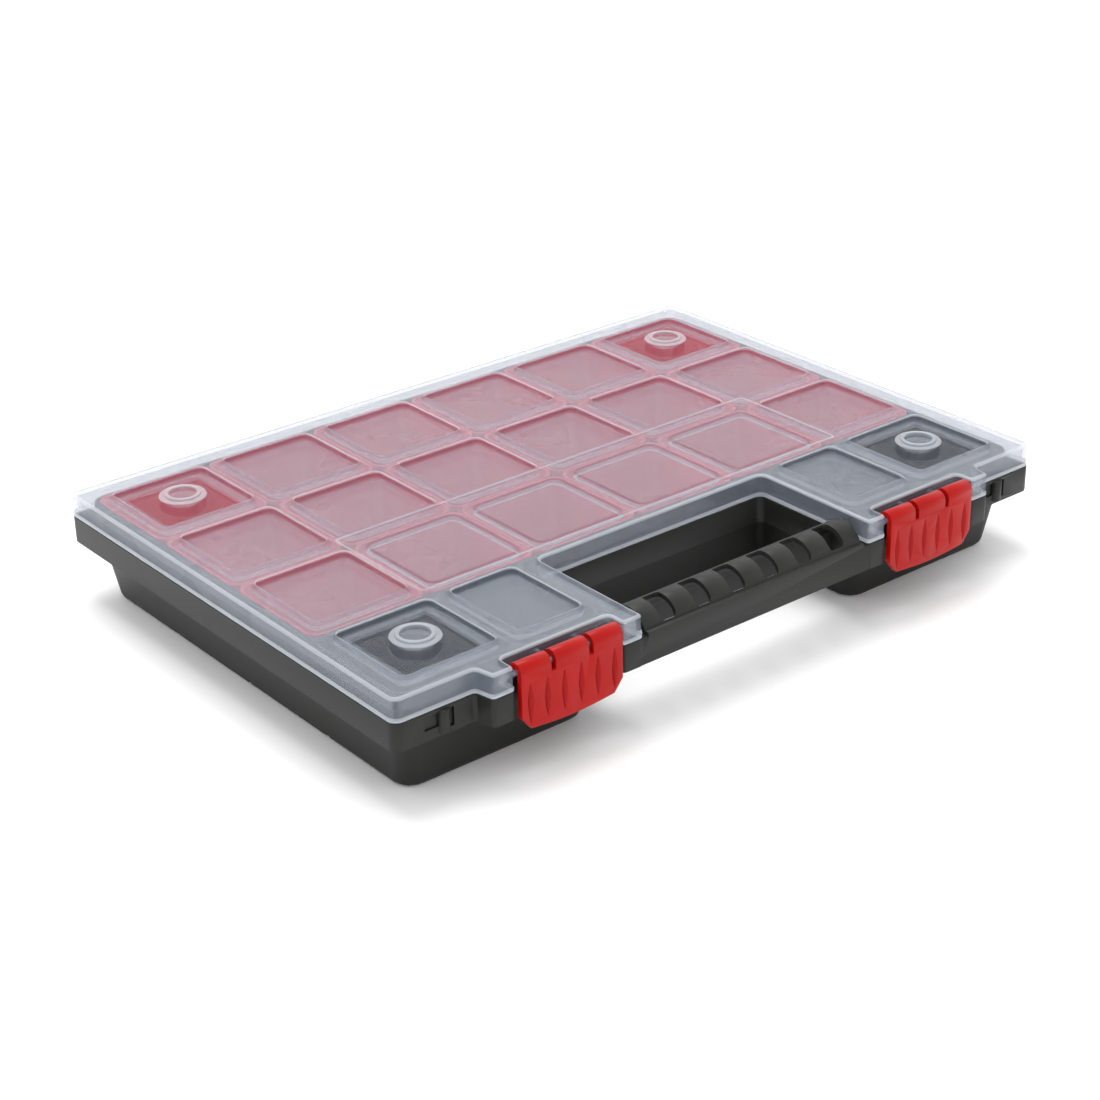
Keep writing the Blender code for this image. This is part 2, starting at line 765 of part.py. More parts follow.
def add_lid_knuckles(lid):
    """A knuckle at each hinge station, with a pin that runs into the bores beside it."""
    pin_reach = LID_KNUCKLE / 2 + FIT + BORE_DEPTH - PIN_END_GAP
    centre = (HINGE_Y, HINGE_Z)
    root = CASE_BACK - LID_WALL / 2
    shoulder = HINGE_Y + KNUCKLE_ARM_SHOULDER
    for x in HINGE_STATIONS:
        span = (x - LID_KNUCKLE / 2, x + LID_KNUCKLE / 2)
        knuckle = bar_along_x("knuckle", circle(centre, HINGE_RADIUS, HINGE_STEPS), span)
        arm = [
            (root, HINGE_Z),
            (shoulder, HINGE_Z),
            (shoulder, HINGE_Z + KNUCKLE_ARM_RISE),
            (CASE_BACK, LID_BOTTOM + KNUCKLE_ARM_RISE),
            (root, LID_BOTTOM + KNUCKLE_ARM_RISE),
        ]
        join(knuckle, bar_along_x("arm", arm, span))
        pin = circle(centre, HINGE_PIN_RADIUS, HINGE_STEPS)
        join(knuckle, bar_along_x("pin", pin, (x - pin_reach, x + pin_reach)))
        join(lid, knuckle)


def add_latch_rods(lid):
    """A rod across each notch and the two webs that hold it, which the latch hangs on."""
    for side in (-1, 1):
        middle = side * LATCH_X
        reach = NOTCH_WIDTH / 2 + LID_WALL / 2
        rod = bar_along_x("rod", circle((ROD_Y, ROD_Z), ROD_RADIUS, 16), (middle - reach, middle + reach))
        for place in (-SLOT_OFFSET, SLOT_OFFSET):
            half = SLOT_WIDTH / 2 - FIT
            web = [
                (ROD_Y, ROD_Z - ROD_RADIUS),
                (CASE_FRONT + LID_WALL / 2, ROD_Z - WEB_DROP),
                (CASE_FRONT + LID_WALL / 2, ROD_Z + ROD_RADIUS),
                (ROD_Y, ROD_Z + ROD_RADIUS),
            ]
            x = middle + place
            join(rod, bar_along_x("web", web, (x - half, x + half)))
        join(lid, rod)


def build_lid(look):
    lid = lid_shell()
    add_windows(lid)
    add_label_frame(lid)
    add_knobs(lid)
    add_latch_rods(lid)
    add_lid_knuckles(lid)
    finish(lid, look)
    return lid


def latch_plate(middle):
    """The latch's face: square shoulders, cut lower corners and a bowed lower edge."""
    half = LATCH_WIDTH / 2
    corner = half - PLATE_CHAMFER
    outline = [(-half, ROD_Z), (-half, LATCH_BOTTOM + PLATE_SHOULDER)]
    for step in range(PLATE_STEPS + 1):
        share = step / PLATE_STEPS
        outline.append((corner * (2 * share - 1), LATCH_BOTTOM + PLATE_BOW * (1 - math.sin(math.pi * share))))
    outline += [(half, LATCH_BOTTOM + PLATE_SHOULDER), (half, ROD_Z)]
    bm = bmesh.new()
    front = [bm.verts.new((middle + x, LATCH_FRONT, z)) for x, z in outline]
    back = [bm.verts.new((middle + x, LATCH_FRONT + LATCH_PLATE, z)) for x, z in outline]
    bm.faces.new(front)
    bm.faces.new(list(reversed(back)))
    for index in range(len(outline)):
        after = (index + 1) % len(outline)
        bm.faces.new((front[index], back[index], back[after], front[after]))
    return mesh_object("plate", bm)


def grip_groove(x):
    """The cutter of a lens-shaped hollow in the latch's face, deepest in the middle."""
    bm = bmesh.new()
    front = LATCH_FRONT - GROOVE_LIFT
    height = LATCH_GROOVE_HIGH - LATCH_GROOVE_LOW
    rings = []
    for step in range(1, GROOVE_STEPS):
        share = step / GROOVE_STEPS
        swell = math.sin(math.pi * share)
        half = LATCH_GROOVE_WIDTH / 2 * swell
        deep = LATCH_FRONT + LATCH_GROOVE_DEPTH * swell
        z = LATCH_GROOVE_LOW + height * share
        rings.append([bm.verts.new(p) for p in ((x - half, front, z), (x + half, front, z), (x, deep, z))])
    low = bm.verts.new((x, front, LATCH_GROOVE_LOW))
    high = bm.verts.new((x, front, LATCH_GROOVE_HIGH))
    for index in range(3):
        after = (index + 1) % 3
        bm.faces.new((low, rings[0][index], rings[0][after]))
        bm.faces.new((high, rings[-1][after], rings[-1][index]))
        for below, above in zip(rings, rings[1:]):
            bm.faces.new((below[index], above[index], above[after], below[after]))
    return mesh_object("grip_groove", bm)


def latch_hook(middle):
    """The ledge behind the face that clips under the tub's catch."""
    top = CATCH_LOW - FIT
    tip = CASE_FRONT - CATCH_REACH - FIT
    root = LATCH_FRONT + LATCH_PLATE - OVERLAP
    profile = [(root, top), (tip, top), (tip, top - HOOK_HEIGHT / 2), (root, top - HOOK_HEIGHT)]
    return bar_along_x("hook", profile, (middle - catch_span(), middle + catch_span()))


def rod_mouth(span):
    """The cutter of the open underside of the roll, which lets the latch snap onto the lid's rod."""
    front = LATCH_FRONT + LATCH_PLATE
    back = ROD_Y + ROLL_RADIUS + OVERLAP
    low = ROD_Z - 2 * ROLL_RADIUS
    top = ROD_Z - MOUTH_GAP
    profile = [(front, low), (front, ROD_Z), (ROD_Y, ROD_Z), (ROD_Y, top), (back, top), (back, low)]
    return bar_along_x("mouth", profile, span)


def build_latch(name, side, look):
    """A latch that hangs on the lid's rod: a split roll on top, a grooved face and a hook behind it."""
    middle = side * LATCH_X
    half = LATCH_WIDTH / 2
    span = (middle - half, middle + half)
    past_ends = (span[0] - OVERLAP, span[1] + OVERLAP)
    latch = latch_plate(middle)
    latch.name = name
    join(latch, bar_along_x("roll", circle((ROD_Y, ROD_Z), ROLL_RADIUS, ROLL_STEPS), span))
    join(latch, latch_hook(middle))
    cut(latch, bar_along_x("bore", circle((ROD_Y, ROD_Z), ROD_RADIUS + FIT, HINGE_STEPS), past_ends))
    cut(latch, rod_mouth(past_ends))
    for place in (-SLOT_OFFSET, SLOT_OFFSET):
        x = (middle + place - SLOT_WIDTH / 2, middle + place + SLOT_WIDTH / 2)
        y = (LATCH_FRONT - OVERLAP, ROD_Y + ROLL_RADIUS + OVERLAP)
        cut(latch, box("slot", x, y, (LID_TOP - SLOT_DEPTH, LID_TOP + OVERLAP)))
    for index in range(GROOVES):
        place = (index - (GROOVES - 1) / 2) * LATCH_GROOVE_PITCH
        cut(latch, grip_groove(middle + place))
    finish(latch, look)
    set_origin(latch, (middle, ROD_Y, ROD_Z))


def set_origin(target, place):
    shift = Vector(place)
    for vertex in target.data.vertices:
        vertex.co -= shift
    target.location = shift


def build_bin(name, x, y, look):
    """A tapered open box with round corners that lifts out of the tub."""
    outline = rectangle(x, y, COLUMN_PITCH - BIN_GAP, ROW_PITCH - BIN_GAP)
    low = TUB_FLOOR + FLOOR_GAP
    top = LIP_TOP + BIN_RISE
    floor = low + BIN_FLOOR

    def ring(narrow):
        return rounded(outline, BIN_RADIUS + narrow, narrow, BIN_CORNER_STEPS)

    foot = [(low, ring(BIN_TAPER + BIN_FOOT)), (low + BIN_FOOT, ring(BIN_TAPER))]
    outside = loft(name, foot + [(top, ring(0.0))])
    inset = BIN_TAPER + BIN_WALL
    fillet = reversed(quarter_round(BIN_FILLET, FOOT_STEPS))
    rings = [(floor + BIN_FILLET - rise, ring(inset + pull)) for rise, pull in fillet]
    inside = loft("inside", rings + [(top, ring(BIN_WALL)), (top + OVERLAP, ring(BIN_WALL))])
    cut(outside, inside)
    finish(outside, look)


def build_bins(look):
    for row, y in zip(BIN_ROWS, ROW_Y):
        for column in range(COLUMNS):
            build_bin(f"bin_{row}_{column + 1}", column_x(column), y, look)


def main():
    clear_scene()
    black = material("black_plastic", (0.035, 0.035, 0.033), 0.5)
    clear = material("frosted_clear_plastic", (0.75, 0.80, 0.86), 0.35, 0.35)
    red = material("red_latch_plastic", (0.66, 0.02, 0.012), 0.35)
    crimson = material("red_bin_plastic", (0.62, 0.03, 0.06), 0.4)
    build_base(black)
    lid = build_lid(clear)
    set_origin(lid, (0.0, HINGE_Y, HINGE_Z))
    build_latch("latch_left", -1, red)
    build_latch("latch_right", 1, red)
    build_bins(crimson)


main()
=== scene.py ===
import math

import bmesh
import bpy
from mathutils import Matrix, Vector


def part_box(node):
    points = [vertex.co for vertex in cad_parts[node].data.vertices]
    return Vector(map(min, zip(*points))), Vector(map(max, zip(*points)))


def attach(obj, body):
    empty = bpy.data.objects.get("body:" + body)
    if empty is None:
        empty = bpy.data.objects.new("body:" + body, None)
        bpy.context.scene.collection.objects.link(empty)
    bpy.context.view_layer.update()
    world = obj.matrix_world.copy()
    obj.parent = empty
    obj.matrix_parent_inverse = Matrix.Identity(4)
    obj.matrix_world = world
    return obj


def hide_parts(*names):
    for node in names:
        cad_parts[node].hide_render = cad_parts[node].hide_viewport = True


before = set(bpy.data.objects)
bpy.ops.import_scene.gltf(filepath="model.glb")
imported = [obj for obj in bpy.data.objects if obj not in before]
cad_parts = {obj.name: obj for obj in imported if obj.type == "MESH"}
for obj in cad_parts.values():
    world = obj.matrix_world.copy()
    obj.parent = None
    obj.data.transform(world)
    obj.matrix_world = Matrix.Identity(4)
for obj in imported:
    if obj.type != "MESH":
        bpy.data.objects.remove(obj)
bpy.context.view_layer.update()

mm = 0.001
rows = ("back", "middle", "front")
columns = 6


def linear(hexColour, alpha=1.0):
    # An sRGB hex colour as the linear values that shaders take.
    channels = [int(hexColour[at:at + 2], 16) / 255 for at in (1, 3, 5)]
    return (*(c / 12.92 if c <= 0.04045 else ((c + 0.055) / 1.055) ** 2.4 for c in channels), alpha)


def addNode(tree, kind, settings, links=None):
    node = tree.nodes.new(kind)
    for name, value in settings.items():
        if name in node.inputs:
            node.inputs[name].default_value = value
        else:
            setattr(node, name, value)
    for name, source in (links or {}).items():
        tree.links.new(source, node.inputs[name])
    return node


# Finishes. Each pattern is on Object coordinates in metres, so a scale of 1000 / size in mm draws it at that size.

def mouldedPlastic(name, look):
    # An injection moulding: a satin skin with fine spark-erosion grain, and slow shade changes where the melt flowed.
    made = bpy.data.materials.new(name)
    made.use_nodes = True
    tree = made.node_tree
    shader = tree.nodes["Principled BSDF"]
    for socket, value in look["shader"].items():
        shader.inputs[socket].default_value = value
    place = addNode(tree, "ShaderNodeTexCoord", {}).outputs["Object"]
    flow = addNode(tree, "ShaderNodeTexNoise", {"Scale": 1000 / look["flowSize"], "Detail": 3.0, "Roughness": 0.6},
                   {"Vector": place})
    shades = addNode(tree, "ShaderNodeValToRGB", {}, {"Fac": flow.outputs["Fac"]})
    shades.color_ramp.elements[0].position = 0.3
    shades.color_ramp.elements[0].color = linear(look["dark"])
    shades.color_ramp.elements[1].position = 0.7
    shades.color_ramp.elements[1].color = linear(look["light"])
    tree.links.new(shades.outputs["Color"], shader.inputs["Base Color"])
    sheen = addNode(tree, "ShaderNodeMapRange", {"To Min": look["gloss"][0], "To Max": look["gloss"][1]},
                    {"Value": flow.outputs["Fac"]})
    tree.links.new(sheen.outputs["Result"], shader.inputs["Roughness"])
    grain = addNode(tree, "ShaderNodeTexNoise", {"Scale": 1000 / look["grainSize"], "Detail": 2.0}, {"Vector": place})
    bump = addNode(tree, "ShaderNodeBump", {"Strength": look["grainStrength"], "Distance": look["grainDepth"] * mm},
                   {"Height": grain.outputs["Fac"]})
    tree.links.new(bump.outputs["Normal"], shader.inputs["Normal"])
    return made


looks = {
    # Polypropylene filled with carbon black: near black, a soft grey sheen at grazing angles.
    "blackPolypropylene": {
        "dark": "#171816", "light": "#1d1e1c", "gloss": (0.42, 0.52), "flowSize": 45.0,
        "grainSize": 0.8, "grainStrength": 0.12, "grainDepth": 0.05,  # grit is 0.2 mm, drawn coarser so that it shows
        "shader": {"IOR": 1.49, "Specular IOR Level": 0.35},
    },
    # Natural polypropylene with a mirror-blasted tool face: milky, bluish where it scatters, clear up close.
    "frostedPolypropylene": {
        "dark": "#a4aec0", "light": "#adb6c7", "gloss": (0.24, 0.3), "flowSize": 60.0,
        "grainSize": 1.2, "grainStrength": 0.02, "grainDepth": 0.03,
        "shader": {"IOR": 1.49, "Transmission Weight": 0.55, "Alpha": 0.34},
    },
    # The same plastic on the knobs' sloping sides, from a polished part of the tool: nearly clear, and tinted darker
    # as painted shade for the slopes' dim reflection.
    "polishedPaintedShadePolypropylene": {
        "dark": "#8f9aae", "light": "#98a3b6", "gloss": (0.12, 0.18), "flowSize": 60.0,
        "grainSize": 1.2, "grainStrength": 0.02, "grainDepth": 0.02,
        "shader": {"IOR": 1.49, "Transmission Weight": 0.6, "Alpha": 0.13},
    },
    # Again the same plastic along rims and beads, made lighter and more opaque as a painted highlight, so that the
    # rounded edges show almost white.
    "paintedHighlightPolypropylene": {
        "dark": "#cdd3db", "light": "#d6dbe2", "gloss": (0.22, 0.28), "flowSize": 60.0,
        "grainSize": 1.2, "grainStrength": 0.05, "grainDepth": 0.03,
        "shader": {"IOR": 1.49, "Transmission Weight": 0.35, "Alpha": 0.6},
    },
    # Bright red polypropylene, polished tool: glossier than the tub.
    "redLatchPolypropylene": {
        "dark": "#9c0904", "light": "#aa0c06", "gloss": (0.26, 0.34), "flowSize": 25.0,
        "grainSize": 0.9, "grainStrength": 0.05, "grainDepth": 0.03,
        "shader": {"IOR": 1.49, "Specular IOR Level": 0.18},
    },
    # Crimson polypropylene, polished core: smooth inside, deeper where light bounces between the walls.
    "redBinPolypropylene": {
        "dark": "#cc0f38", "light": "#d61842", "gloss": (0.32, 0.4), "flowSize": 30.0,
        "grainSize": 0.9, "grainStrength": 0.05, "grainDepth": 0.03,
        "shader": {"IOR": 1.49},
    },
}
finishes = {name: mouldedPlastic(name, look) for name, look in looks.items()}
print("finishes made:", ", ".join(finishes))


def roundedBy(piece, width, segments, limit):
    # A soft moulded edge wherever two faces meet at more than the limit.
    bevel = piece.modifiers.new("softEdges", "BEVEL")
    bevel.limit_method = "ANGLE"
    bevel.angle_limit = math.radians(limit)
    bevel.width = width * mm
    bevel.segments = segments
    bevel.harden_normals = True
    bevel.miter_outer = "MITER_ARC"


def newPiece(name, bm, finish, body, slot, *nodes):
    # A finished piece, joined to its body and standing in for its CAD nodes.
    mesh = bpy.data.meshes.new(name)
    bm.to_mesh(mesh)
    bm.free()
    mesh.shade_smooth()
    mesh.materials.append(finish)
    piece = bpy.data.objects.new(name, mesh)
    bpy.context.scene.collection.objects.link(piece)
    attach(piece, body)
    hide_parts(*nodes)
    return piece


def moulding(node, name, finish, body, slot, soft):
    # The node's own shape, merged into whole faces so that its edges can be softened.
    bm = bmesh.new()
    bm.from_mesh(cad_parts[node].data)
    bmesh.ops.remove_doubles(bm, verts=bm.verts, dist=soft["merge"] * mm)
    bmesh.ops.dissolve_limit(bm, angle_limit=math.radians(soft["flat"]), verts=bm.verts, edges=bm.edges)
    piece = newPiece(name, bm, finish, body, slot, node)
    roundedBy(piece, soft["radius"], soft["segments"], soft["limit"])
    return piece


# Tub, bins and latches

# Merge distance and edge radius in mm; angles in degrees.
tubEdges = {"merge": 0.002, "flat": 1.0, "radius": 0.35, "segments": 2, "limit": 32.0}
smallEdges = {"merge": 0.002, "flat": 1.0, "radius": 0.3, "segments": 2, "limit": 35.0}

moulding("base", "tub_moulding", finishes["blackPolypropylene"], "tub", "black_plastic", tubEdges)
for row in rows:
    for column in range(1, columns + 1):
        node = f"bin_{row}_{column}"
        moulding(node, f"{node}_moulding", finishes["redBinPolypropylene"], "tub", "red_bin_plastic", smallEdges)
for side in ("left", "right"):
    moulding(f"latch_{side}", f"latch_{side}_moulding", finishes["redLatchPolypropylene"],
             f"{side}_latch", "red_latch_plastic", smallEdges)
print("tub, bins and latches made")


# Lid: rings of points stacked into walls, and the flat plastic between them filled in

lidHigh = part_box("lid")[1]
lid = {
    "top": 48.4 * mm, "skirt": 38.3 * mm, "wall": 1.8 * mm,
    "front": -114.8 * mm, "back": 121.8 * mm,
    "earReach": 8.7 * mm, "earWidth": 10.6 * mm, "earSlant": 1.8 * mm, "notch": 51.4 * mm,
    "wellHalf": 61.0 * mm, "wellBack": -60.0 * mm,
    "caseCorner": 4.5 * mm, "earCorner": 2.0 * mm, "wellCorner": 3.0 * mm, "cornerSteps": 8,
    "topEdge": 1.2 * mm, "edgeSteps": 5, "bead": 1.6 * mm, "beadReach": 0.4 * mm, "softening": 0.25 * mm,
    "leastCorner": 0.1 * mm, "weld": 0.004 * mm, "sharpAngle": 40.0,
}
window = {
    "size": 44.0 * mm, "narrow": 31.5 * mm, "depth": 2.6 * mm, "corner": 3.0 * mm, "draft": 0.3 * mm,
    "edge": 0.5 * mm, "steps": 4, "cupWall": 1.6 * mm, "floor": 1.6 * mm, "cupEdge": 0.4 * mm,
    "frameDrop": 4.4 * mm, "panelSide": 4.2 * mm, "panelFront": 1.0 * mm, "panelLine": 0.9 * mm,
    "panelRise": 0.35 * mm, "panelCorner": 2.0 * mm,
}
knob = {
    "margin": 3.4 * mm, "footCorner": 0.8 * mm, "radius": 10.2 * mm, "shoulder": 48.3 * mm, "top": 49.0 * mm,
    "edge": 0.4 * mm, "ringOuter": 7.8 * mm, "ringInner": 6.0 * mm, "ringEdge": 0.3 * mm, "dish": 48.7 * mm,
    "steps": 11, "roundness": 0.9999,  # a hair under 1 keeps the four arcs of the circle apart until they are welded
}


# Places of the lid's other two finishes: the knob slopes, nearly clear and tinted darker as painted shade, and the
# rims and beads, lighter as a painted highlight.
polishedShadeFinish, highlightRimFinish = 1, 2  # places of the lid's other two finishes


def middleOf(node):
    low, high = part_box(node)
    return (Vector(low) + Vector(high)) / 2


columnX = [middleOf(f"bin_back_{column}").x for column in range(1, columns + 1)]
rowY = [middleOf(f"bin_{row}_1").y for row in rows]
pitchY = rowY[0] - rowY[1]
ownRowY = -80.2 * mm
narrowX = 88.95 * mm


def lidCorners():
    # Each corner with its radius: the right half from the well round to the back, then its mirror image.
    earInner = lid["wellHalf"] + lid["earWidth"]
    notchOuter = earInner + lid["notch"]
    earOuter = notchOuter + lid["earWidth"]
    earFront = lid["front"] - lid["earReach"]
    ear, case = lid["earCorner"], lid["caseCorner"]
    half = [
        (lid["wellHalf"], lid["wellBack"], lid["wellCorner"]), (lid["wellHalf"], earFront, ear),
        (earInner, earFront, ear), (earInner, lid["front"], ear), (notchOuter, lid["front"], ear),
        (notchOuter, earFront, ear), (earOuter, earFront, ear), (earOuter + lid["earSlant"], lid["front"], ear),
        (lidHigh[0], lid["front"], case), (lidHigh[0], lid["back"], case),
    ]
    return half + [(-x, y, radius) for x, y, radius in reversed(half)]


def boxCorners(x, y, halfX, halfY, radius):
    return [(x + s * halfX, y + t * halfY, radius) for s, t in ((-1, -1), (1, -1), (1, 1), (-1, 1))]


def addRing(bm, corners, inset, z, steps):
    # An anticlockwise outline drawn in by the inset, with its outer corners tighter and its inner ones wider.
    ring = []
    for index, (x, y, radius) in enumerate(corners):
        here = Vector((x, y))
        first = (here - Vector(corners[index - 1][:2])).normalized()
        second = (Vector(corners[(index + 1) % len(corners)][:2]) - here).normalized()
        turn = math.atan2(first.cross(second), first.dot(second))
        way = math.copysign(1.0, turn)
        size = max(radius - way * inset, lid["leastCorner"])
        sideways = Vector((-first.y, first.x))
        shift = (sideways + Vector((-second.y, second.x))) * inset / (1 + first.dot(second))
        centre = here + shift - first * size * abs(math.tan(turn / 2)) + sideways * way * size
        for step in range(steps + 1):
            spoke = Matrix.Rotation(turn * step / steps, 2) @ (-sideways * way * size)
            ring.append(bm.verts.new((*(centre + spoke), z)))
    return ring


def addWall(bm, lower, upper, finish=0):
    count = len(lower)
    for index in range(count):
        after = (index + 1) % count
        face = bm.faces.new((lower[index], lower[after], upper[after], upper[index]))
        face.material_index = finish


def addProfile(bm, corners, profile, steps, highlightWalls=()):
    # One ring for each (inset, height) of the profile, with a wall between each and the next: returns both ends.
    rings = [addRing(bm, corners, inset, z, steps) for inset, z in profile]
    for index, (lower, upper) in enumerate(zip(rings, rings[1:])):
        # Walls whose places are listed take the painted-highlight finish; the others take the frosted one.
        addWall(bm, lower, upper, highlightRimFinish if index in highlightWalls else 0)
    return rings[0], rings[-1]


def quarter(steps, size):
    # How far in and how far down a rounded edge is, from its outer end to its top.
    angles = [math.pi / 2 * step / steps for step in range(steps + 1)]
    return [(size * (1 - math.cos(a)), size * (1 - math.sin(a))) for a in angles]


def edgesOf(bm, ring):
    return [bm.edges.get((ring[index - 1], ring[index])) or bm.edges.new((ring[index - 1], ring[index]))
            for index in range(len(ring))]


def fillBetween(bm, rings, upward):
    edges = [edge for ring in rings for edge in edgesOf(bm, ring)]
    bmesh.ops.triangle_fill(bm, use_beauty=True, use_dissolve=False, edges=edges, normal=(0, 0, upward))


def addSkirt(bm):
    # From the inside of the top, down the inside, under the bead and up the outside: returns the two top rings.
    beadTop = lid["skirt"] + lid["bead"]
    soft, reach, edge = lid["softening"], lid["beadReach"], lid["topEdge"]
    inner = lid["wall"] + reach
    profile = [
        (inner, lid["top"] - lid["wall"]), (inner, lid["skirt"] + soft), (inner - soft, lid["skirt"]),
        (soft, lid["skirt"]), (0, lid["skirt"] + soft), (0, beadTop - soft), (soft, beadTop), (reach, beadTop + soft),
    ]
    side = len(profile) - 1
    profile += [(reach + across, lid["top"] - down) for across, down in quarter(lid["edgeSteps"], edge)]
    # The painted highlight goes on every wall from the skirt's foot round the bead and over the top edge, all but the
    # plain side above the bead.
    highlightWalls = [index for index in range(2, len(profile)) if index != side]
    return addProfile(bm, lidCorners(), profile, lid["cornerSteps"], highlightWalls)


def addWindow(bm, x, y, width, length):
    # The window seen from above: a rounded edge, a wall with draft, a small fillet and the floor's outline.
    corners = boxCorners(x, y, width / 2, length / 2, window["corner"])
    edge, floor = window["edge"], lid["top"] - window["depth"]
    rounded = quarter(window["steps"], edge)
    profile = [(-across, lid["top"] - down) for across, down in reversed(rounded)]
    profile += [(window["draft"] + across, floor + down) for across, down in rounded]
    # The window's rounded top edge takes the painted highlight.
    return addProfile(bm, corners, profile, window["steps"], range(window["steps"]))


def addCup(bm, x, y, width, length):
    # The same window from below: its wall hangs from the underside of the top.
    corners = boxCorners(x, y, width / 2 + window["cupWall"], length / 2 + window["cupWall"],
                         window["corner"] + window["cupWall"])
    foot = lid["top"] - window["depth"] - window["floor"]
    profile = [(0, lid["top"] - lid["wall"]), (window["draft"], foot + window["cupEdge"]),
               (window["draft"] + window["cupEdge"], foot)]
    return addProfile(bm, corners, profile, window["steps"])


def addKnob(bm, x, y, floorRing, cupRing):
    # A pyramid with a round top: each ring has the same number of points, so a square can grow into a circle.
    low = floorRing[0].co.z
    half = window["size"] / 2 - window["draft"] - window["edge"] - knob["margin"]
    circle = boxCorners(x, y, knob["radius"], knob["radius"], knob["radius"] * knob["roundness"])
    foot = addRing(bm, boxCorners(x, y, half, half, knob["footCorner"]), 0, low, knob["steps"])
    edge, ringEdge = knob["edge"], knob["ringEdge"]
    outer, inner = knob["radius"] - knob["ringOuter"], knob["radius"] - knob["ringInner"]
    profile = [
        (0, knob["shoulder"]), (0, knob["top"] - edge), (edge, knob["top"]), (outer, knob["top"]),
        (outer, lidHigh[2] - ringEdge), (outer + ringEdge, lidHigh[2]), (inner - ringEdge, lidHigh[2]),
        (inner, lidHigh[2] - ringEdge), (inner, knob["dish"]),
    ]
    # The knob's top edge and ring take the painted highlight.
    shoulder, dish = addProfile(bm, circle, profile, knob["steps"], range(1, len(profile) - 1))
    # The sloping sides take the nearly clear finish with its painted shade.
    addWall(bm, foot, shoulder, polishedShadeFinish)
    bm.faces.new(dish)
    fillBetween(bm, (floorRing, foot), 1)
    under = addRing(bm, boxCorners(x, y, half, half, knob["footCorner"]), 0, cupRing[0].co.z, knob["steps"])
    ceiling = addRing(bm, circle, lid["wall"], knob["shoulder"] - lid["wall"], knob["steps"])
    # So does the slopes' underside.
    addWall(bm, under, ceiling, polishedShadeFinish)
    bm.faces.new(ceiling)
    fillBetween(bm, (cupRing, under), -1)


def addLabelPanel(bm):
    # A fine raised line round the flat panel above four bins; four window frames hang under it.
    halfX = (columns / 2 - 1) * (columnX[1] - columnX[0]) + window["panelSide"]
    low = rowY[-1] - pitchY / 2 - window["panelFront"]
    high = rowY[-1] + pitchY / 2 + window["panelSide"]
    corners = boxCorners(0, (low + high) / 2, halfX, (high - low) / 2, window["panelCorner"])
    rise, line = lid["top"] + window["panelRise"], window["panelLine"]
    profile = [(0, lid["top"]), (line / 3, rise), (line * 2 / 3, rise), (line, lid["top"])]
    # The raised line takes the painted highlight all round.
    outside, inside = addProfile(bm, corners, profile, window["steps"], range(len(profile)))
    bm.faces.new(inside)
    half = window["size"] / 2
    hung = []
    for x in columnX[1:-1]:
        wall, ceiling, foot = window["cupWall"], lid["top"] - lid["wall"], lid["top"] - window["frameDrop"]
        soft = lid["softening"]
        profile = [(-wall, ceiling), (-wall, foot + soft), (soft - wall, foot), (-soft, foot), (0, foot + soft),
                   (0, ceiling)]
        # Each hung frame's rounded foot takes the painted highlight.
        outer, inner = addProfile(bm, boxCorners(x, rowY[-1], half, half, window["corner"]), profile,
                                  window["steps"], range(1, 4))
        bm.faces.new(inner)
        hung.append(outer)
    return outside, hung


def lidShell():
    bm = bmesh.new()
    innerTop, outerTop = addSkirt(bm)
    above, below = [outerTop], [innerTop]
    wide = window["size"]
    places = [(x, y, wide, row == 0) for row, y in enumerate(rowY) for x in (columnX[0], columnX[-1])]
    places += [(x, y, wide, False) for y in rowY[:-1] for x in columnX[1:-1]]
    places += [(x, ownRowY, wide, True) for x in (columnX[0], columnX[-1])]
    places += [(side * narrowX, ownRowY, window["narrow"], False) for side in (-1, 1)]
    for x, y, width, isKnob in places:
        top, floorRing = addWindow(bm, x, y, width, wide)
        ceiling, cupRing = addCup(bm, x, y, width, wide)
        above.append(top)
        below.append(ceiling)
        if isKnob:
            addKnob(bm, x, y, floorRing, cupRing)
        else:
            bm.faces.new(floorRing)
            bm.faces.new(cupRing)
    outside, hung = addLabelPanel(bm)
    fillBetween(bm, [*above, outside], 1)
    fillBetween(bm, below + hung, -1)
    bmesh.ops.remove_doubles(bm, verts=bm.verts, dist=lid["weld"])
    bmesh.ops.recalc_face_normals(bm, faces=bm.faces)
    return bm


def block(bm, x, y, z):
    # A box from its (low, high) pairs.
    sizes = [high - low for low, high in (x, y, z)]
    middle = [(low + high) / 2 for low, high in (x, y, z)]
    turned = Matrix.Translation(middle) @ Matrix.Diagonal((*sizes, 1))
    return bmesh.ops.create_cube(bm, size=1.0, matrix=turned)["verts"]


def rod(bm, x, y, z, radius, segments):
    turned = Matrix.Translation(((x[0] + x[1]) / 2, y, z)) @ Matrix.Rotation(math.pi / 2, 4, "Y")
    bmesh.ops.create_cone(bm, cap_ends=True, segments=segments, radius1=radius, radius2=radius, depth=x[1] - x[0],
                          matrix=turned)


fittings = {
    "rodY": -121.2 * mm, "rodZ": 44.6 * mm, "rodRadius": 1.3 * mm, "latchX": 97.3 * mm,
    "webOffset": 9.05 * mm, "webHalf": 0.75 * mm, "webDrop": 1.5 * mm,
    "hingeY": 122.4 * mm, "hingeZ": 35.2 * mm, "hingeRadius": 2.6 * mm, "pinRadius": 1.2 * mm,
    "stations": (-110.0 * mm, 0.0, 110.0 * mm), "knuckleHalf": 7.0 * mm, "pinReach": 12.15 * mm,
    "armReach": 1.56 * mm, "armRise": 4.0 * mm, "armGap": 0.2 * mm, "armBite": 1.62 * mm,
    "rodSegments": 20, "knuckleSegments": 24, "pinSegments": 16,
}


